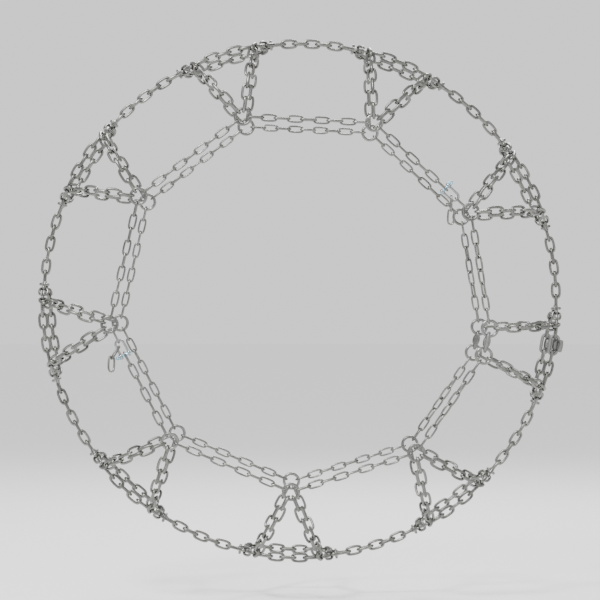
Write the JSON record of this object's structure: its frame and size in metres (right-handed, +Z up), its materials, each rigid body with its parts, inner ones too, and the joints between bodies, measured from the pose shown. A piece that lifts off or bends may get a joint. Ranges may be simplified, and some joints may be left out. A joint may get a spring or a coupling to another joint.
{
  "type": "tyre snow chain",
  "caption": "Net-pattern snow chain fitted round a tractor tyre: two side chains, tie rings, a honeycomb tread net, closing links and screw-pin shackles.",
  "frame": {"origin": "centre of the tyre, on the axle's line and half way across the tread", "axes": "+Y along the axle towards the vehicle, -Y the outer side with the shackles, +Z up"},
  "size_m": [1.3612, 0.4504, 1.3564],
  "materials": {
    "net_chain_steel": "satin hardened steel, bright where it rubs",
    "side_chain_steel": "satin steel",
    "ring_steel": "smooth satin steel",
    "closing_link_steel": "matt forged steel",
    "shackle_zinc": "bright zinc plate",
    "pin_zinc": "blue-white zinc plate"
  },
  "bodies": {
    "root": {"inner_ring_04_and_closing_link": "ring_steel", "closing_link_outer": "closing_link_steel", "closing_link_tread_outer": "closing_link_steel", "closing_link_tread_inner": "closing_link_steel", "shackle_bow_upper": "shackle_zinc", "stub_link_upper": "side_chain_steel", "shackle_bow_lower": "shackle_zinc", "stub_link_lower": "side_chain_steel", "outer_side_chain_1": "side_chain_steel", "inner_side_chain_1": "side_chain_steel", "net_panel_1": "net_chain_steel", "outer_side_chain_2": "side_chain_steel", "inner_side_chain_2": "side_chain_steel", "net_panel_2": "net_chain_steel", "outer_side_chain_3": "side_chain_steel", "inner_side_chain_3": "side_chain_steel", "net_panel_3": "net_chain_steel", "outer_side_chain_4": "side_chain_steel", "inner_side_chain_4": "side_chain_steel", "net_panel_4": "net_chain_steel", "outer_side_chain_5": "side_chain_steel", "inner_side_chain_5": "side_chain_steel", "net_panel_5": "net_chain_steel", "outer_side_chain_6": "side_chain_steel", "inner_side_chain_6": "side_chain_steel", "net_panel_6": "net_chain_steel", "outer_side_chain_7": "side_chain_steel", "inner_side_chain_7": "side_chain_steel", "net_panel_7": "net_chain_steel", "outer_side_chain_8": "side_chain_steel", "inner_side_chain_8": "side_chain_steel", "net_panel_8": "net_chain_steel", "outer_side_chain_9": "side_chain_steel", "inner_side_chain_9": "side_chain_steel", "net_panel_9": "net_chain_steel"},
    "outer_ring_01": {"outer_ring_01": "ring_steel"},
    "outer_ring_02": {"outer_ring_02": "ring_steel"},
    "outer_ring_03": {"outer_ring_03": "ring_steel"},
    "outer_ring_04": {"outer_ring_04": "ring_steel"},
    "outer_ring_05": {"outer_ring_05": "ring_steel"},
    "outer_ring_06": {"outer_ring_06": "ring_steel"},
    "outer_ring_07": {"outer_ring_07": "ring_steel"},
    "outer_ring_08": {"outer_ring_08": "ring_steel"},
    "outer_ring_09": {"outer_ring_09": "ring_steel"},
    "outer_ring_10": {"outer_ring_10": "ring_steel"},
    "inner_ring_01": {"inner_ring_01": "ring_steel"},
    "inner_ring_02": {"inner_ring_02": "ring_steel"},
    "inner_ring_03": {"inner_ring_03": "ring_steel"},
    "inner_ring_05": {"inner_ring_05": "ring_steel"},
    "inner_ring_06": {"inner_ring_06": "ring_steel"},
    "inner_ring_07": {"inner_ring_07": "ring_steel"},
    "inner_ring_08": {"inner_ring_08": "ring_steel"},
    "inner_ring_09": {"inner_ring_09": "ring_steel"},
    "inner_ring_10": {"inner_ring_10": "ring_steel"},
    "shackle_pin_upper": {"shackle_pin_upper": "pin_zinc"},
    "tail_link_upper_1": {"tail_link_upper_1": "side_chain_steel"},
    "tail_link_upper_2": {"tail_link_upper_2": "side_chain_steel"},
    "shackle_pin_lower": {"shackle_pin_lower": "pin_zinc"},
    "tail_link_lower_1": {"tail_link_lower_1": "side_chain_steel"},
    "tail_link_lower_2": {"tail_link_lower_2": "side_chain_steel"}
  },
  "joints": [
    {"name": "outer_ring_01_turn", "type": "hinge", "parent": "root", "child": "outer_ring_01", "pos_m": [-0.14577, -0.203, 0.468], "axis": [0, 1, 0], "continuous": true},
    {"name": "outer_ring_02_turn", "type": "hinge", "parent": "root", "child": "outer_ring_02", "pos_m": [0.18916, -0.203, 0.45221], "axis": [0, 1, 0], "continuous": true},
    {"name": "outer_ring_03_turn", "type": "hinge", "parent": "root", "child": "outer_ring_03", "pos_m": [0.43558, -0.203, 0.22482], "axis": [0, 1, 0], "continuous": true},
    {"name": "outer_ring_04_turn", "type": "hinge", "parent": "root", "child": "outer_ring_04", "pos_m": [0.48475, -0.203, -0.07275], "axis": [0, 1, 0], "continuous": true},
    {"name": "outer_ring_05_turn", "type": "hinge", "parent": "root", "child": "outer_ring_05", "pos_m": [0.46909, -0.203, -0.14221], "axis": [0, 1, 0], "continuous": true},
    {"name": "outer_ring_06_turn", "type": "hinge", "parent": "root", "child": "outer_ring_06", "pos_m": [0.29704, -0.203, -0.38992], "axis": [0, 1, 0], "continuous": true},
    {"name": "outer_ring_07_turn", "type": "hinge", "parent": "root", "child": "outer_ring_07", "pos_m": [-0.02309, -0.203, -0.48963], "axis": [0, 1, 0], "continuous": true},
    {"name": "outer_ring_08_turn", "type": "hinge", "parent": "root", "child": "outer_ring_08", "pos_m": [-0.33242, -0.203, -0.36024], "axis": [0, 1, 0], "continuous": true},
    {"name": "outer_ring_09_turn", "type": "hinge", "parent": "root", "child": "outer_ring_09", "pos_m": [-0.4862, -0.203, -0.06228], "axis": [0, 1, 0], "continuous": true},
    {"name": "outer_ring_10_turn", "type": "hinge", "parent": "root", "child": "outer_ring_10", "pos_m": [-0.41249, -0.203, 0.26481], "axis": [0, 1, 0], "continuous": true},
    {"name": "inner_ring_01_turn", "type": "hinge", "parent": "root", "child": "inner_ring_01", "pos_m": [-0.14577, 0.203, 0.468], "axis": [0, 1, 0], "continuous": true},
    {"name": "inner_ring_02_turn", "type": "hinge", "parent": "root", "child": "inner_ring_02", "pos_m": [0.18916, 0.203, 0.45221], "axis": [0, 1, 0], "continuous": true},
    {"name": "inner_ring_03_turn", "type": "hinge", "parent": "root", "child": "inner_ring_03", "pos_m": [0.43558, 0.203, 0.22482], "axis": [0, 1, 0], "continuous": true},
    {"name": "inner_ring_05_turn", "type": "hinge", "parent": "root", "child": "inner_ring_05", "pos_m": [0.46909, 0.203, -0.14221], "axis": [0, 1, 0], "continuous": true},
    {"name": "inner_ring_06_turn", "type": "hinge", "parent": "root", "child": "inner_ring_06", "pos_m": [0.29704, 0.203, -0.38992], "axis": [0, 1, 0], "continuous": true},
    {"name": "inner_ring_07_turn", "type": "hinge", "parent": "root", "child": "inner_ring_07", "pos_m": [-0.02309, 0.203, -0.48963], "axis": [0, 1, 0], "continuous": true},
    {"name": "inner_ring_08_turn", "type": "hinge", "parent": "root", "child": "inner_ring_08", "pos_m": [-0.33242, 0.203, -0.36024], "axis": [0, 1, 0], "continuous": true},
    {"name": "inner_ring_09_turn", "type": "hinge", "parent": "root", "child": "inner_ring_09", "pos_m": [-0.4862, 0.203, -0.06228], "axis": [0, 1, 0], "continuous": true},
    {"name": "inner_ring_10_turn", "type": "hinge", "parent": "root", "child": "inner_ring_10", "pos_m": [-0.41249, 0.203, 0.26481], "axis": [0, 1, 0], "continuous": true},
    {"name": "shackle_pin_upper_out", "type": "slide", "parent": "root", "child": "shackle_pin_upper", "axis": [0.6782, 0, 0.7349], "range_m": [0, 0.036]},
    {"name": "tail_upper_swing", "type": "hinge", "parent": "root", "child": "tail_link_upper_1", "pos_m": [0.38593, -0.203, 0.25566], "axis": [-0.7349, 0, 0.6782], "range_deg": [0, 70]},
    {"name": "tail_upper_last_link", "type": "hinge", "parent": "tail_link_upper_1", "child": "tail_link_upper_2", "pos_m": [0.38593, -0.203, 0.22655], "axis": [0, 1, 0], "range_deg": [-20, 35]},
    {"name": "shackle_pin_lower_out", "type": "slide", "parent": "root", "child": "shackle_pin_lower", "axis": [-0.8886, 0, -0.4587], "range_m": [0, 0.036]},
    {"name": "tail_lower_swing", "type": "hinge", "parent": "root", "child": "tail_link_lower_1", "pos_m": [-0.46598, -0.203, -0.12545], "axis": [-0.4587, 0, 0.8886], "range_deg": [0, 42]},
    {"name": "tail_lower_last_link", "type": "hinge", "parent": "tail_link_lower_1", "child": "tail_link_lower_2", "pos_m": [-0.48, -0.21558, -0.14988], "axis": [-0.4172, 0.8829, -0.2153], "range_deg": [-20, 35]}
  ]
}
